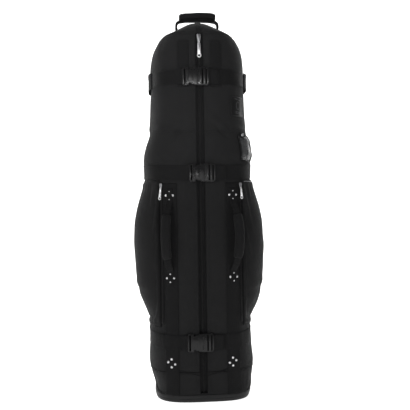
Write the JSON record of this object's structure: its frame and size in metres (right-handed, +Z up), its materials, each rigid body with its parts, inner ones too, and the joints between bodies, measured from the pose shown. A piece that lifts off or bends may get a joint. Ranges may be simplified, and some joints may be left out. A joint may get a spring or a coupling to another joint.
{
  "type": "golf travel bag",
  "caption": "Tall padded black fabric travel cover for long sports gear, with front zip, buckled closing straps, bulging shoe pockets, carry handles and rear wheels",
  "frame": {"origin": "on the floor under the middle of the bag's base, at the centre of its flat underside", "axes": "+Z up along the bag, -Y the front with the main zip, +X to the right seen from the front"},
  "size_m": [0.4714, 0.3387, 1.3283],
  "materials": {
    "bag_fabric": "coarse plain-weave nylon, matt",
    "webbing": "heavy ribbed webbing",
    "zip_tape": "woven tape with nylon coil",
    "moulded_plastic": "fine moulded grain",
    "tyre_rubber": "worn smooth",
    "rubber_patch": "soft moulded",
    "bright_metal": "nickel plated",
    "foam": "closed-cell foam in a cloth cover",
    "card": "plain paper card",
    "clear_vinyl": "clear flexible sheet"
  },
  "bodies": {
    "bag": {"axle_bolt_left": "bright_metal", "axle_bolt_right": "bright_metal", "back_panel": "bag_fabric", "base_tray": "moulded_plastic", "crown_panel": "bag_fabric", "front_panel_left": "bag_fabric", "front_panel_right": "bag_fabric", "handle_webbing_left": "webbing", "handle_webbing_right": "webbing", "head_buckle_socket": "moulded_plastic", "head_foam_liner": "foam", "head_hood": "bag_fabric", "head_strap": "webbing", "head_webbing_left": "webbing", "head_webbing_right": "webbing", "id_card": "card", "id_window": "clear_vinyl", "low_buckle_socket": "moulded_plastic", "low_strap": "webbing", "main_zip_chain": "zip_tape", "mid_buckle_socket": "moulded_plastic", "mid_strap": "webbing", "pocket_zip_chain_left": "zip_tape", "pocket_zip_chain_right": "zip_tape", "rivet_cluster_left_high": "bright_metal", "rivet_cluster_left_low": "bright_metal", "rivet_cluster_left_mid": "bright_metal", "rivet_cluster_right_high": "bright_metal", "rivet_cluster_right_low": "bright_metal", "rivet_cluster_right_mid": "bright_metal", "shoe_pocket_left": "bag_fabric", "shoe_pocket_right": "bag_fabric", "side_loop_left": "webbing", "side_loop_right": "webbing", "side_patch": "rubber_patch", "wheel_housing_left": "moulded_plastic", "wheel_housing_right": "moulded_plastic"},
    "wheel_left": {"wheel_tyre_left": "tyre_rubber", "wheel_hub_left": "moulded_plastic"},
    "wheel_right": {"wheel_tyre_right": "tyre_rubber", "wheel_hub_right": "moulded_plastic"},
    "main_slider": {"main_zip_slider": "bright_metal"},
    "main_pull": {"main_zip_pull": "bright_metal"},
    "pocket_slider_left": {"pocket_zip_left_slider": "bright_metal"},
    "pocket_pull_left": {"pocket_zip_left_pull": "bright_metal"},
    "pocket_slider_right": {"pocket_zip_right_slider": "bright_metal"},
    "pocket_pull_right": {"pocket_zip_right_pull": "bright_metal"},
    "head_plug": {"head_buckle_plug": "moulded_plastic", "head_strap_tail": "webbing"},
    "mid_plug": {"mid_buckle_plug": "moulded_plastic", "mid_strap_tail": "webbing"},
    "low_plug": {"low_buckle_plug": "moulded_plastic", "low_strap_tail": "webbing"},
    "top_handle": {"top_handle_web": "webbing", "top_handle_grip": "bag_fabric"},
    "carry_handle_left": {"carry_handle_web_left": "webbing", "carry_handle_grip_left": "bag_fabric"},
    "carry_handle_right": {"carry_handle_web_right": "webbing", "carry_handle_grip_right": "bag_fabric"}
  },
  "joints": [
    {"name": "wheel_spin_left", "type": "hinge", "parent": "bag", "child": "wheel_left", "pos_m": [-0.106, 0.122, 0.038], "axis": [1, 0, 0], "continuous": true},
    {"name": "wheel_spin_right", "type": "hinge", "parent": "bag", "child": "wheel_right", "pos_m": [0.106, 0.122, 0.038], "axis": [1, 0, 0], "continuous": true},
    {"name": "main_zip_travel", "type": "slide", "parent": "bag", "child": "main_slider", "axis": [0, 0, -1], "range_m": [0, 1.112]},
    {"name": "main_pull_swing", "type": "hinge", "parent": "main_slider", "child": "main_pull", "pos_m": [0, -0.149, 1.1975], "axis": [-1, 0, 0], "range_deg": [0, 170]},
    {"name": "pocket_zip_travel_left", "type": "slide", "parent": "bag", "child": "pocket_slider_left", "axis": [0, 0.0107, -0.9999], "range_m": [0, 0.43]},
    {"name": "pocket_pull_swing_left", "type": "hinge", "parent": "pocket_slider_left", "child": "pocket_pull_left", "pos_m": [-0.13487, -0.13605, 0.7125], "axis": [-0.8559, 0.5171, 0], "range_deg": [0, 170]},
    {"name": "pocket_zip_travel_right", "type": "slide", "parent": "bag", "child": "pocket_slider_right", "axis": [0, 0.0107, -0.9999], "range_m": [0, 0.43]},
    {"name": "pocket_pull_swing_right", "type": "hinge", "parent": "pocket_slider_right", "child": "pocket_pull_right", "pos_m": [0.13487, -0.13605, 0.7125], "axis": [-0.8559, -0.5171, 0], "range_deg": [0, 170]},
    {"name": "head_buckle_release", "type": "slide", "parent": "bag", "child": "head_plug", "axis": [1, 0, 0], "range_m": [0, 0.028]},
    {"name": "mid_buckle_release", "type": "slide", "parent": "bag", "child": "mid_plug", "axis": [1, 0, 0], "range_m": [0, 0.028]},
    {"name": "low_buckle_release", "type": "slide", "parent": "bag", "child": "low_plug", "axis": [1, 0, 0], "range_m": [0, 0.028]},
    {"name": "top_handle_tilt", "type": "hinge", "parent": "bag", "child": "top_handle", "pos_m": [0.004, 0, 1.264], "axis": [1, 0, 0], "range_deg": [-40, 40]},
    {"name": "carry_handle_swing_left", "type": "hinge", "parent": "bag", "child": "carry_handle_left", "pos_m": [-0.105, -0.1477, 0.551], "axis": [0, 0, -1], "range_deg": [-60, 10]},
    {"name": "carry_handle_swing_right", "type": "hinge", "parent": "bag", "child": "carry_handle_right", "pos_m": [0.105, -0.1477, 0.551], "axis": [0, 0, 1], "range_deg": [-60, 10]}
  ]
}
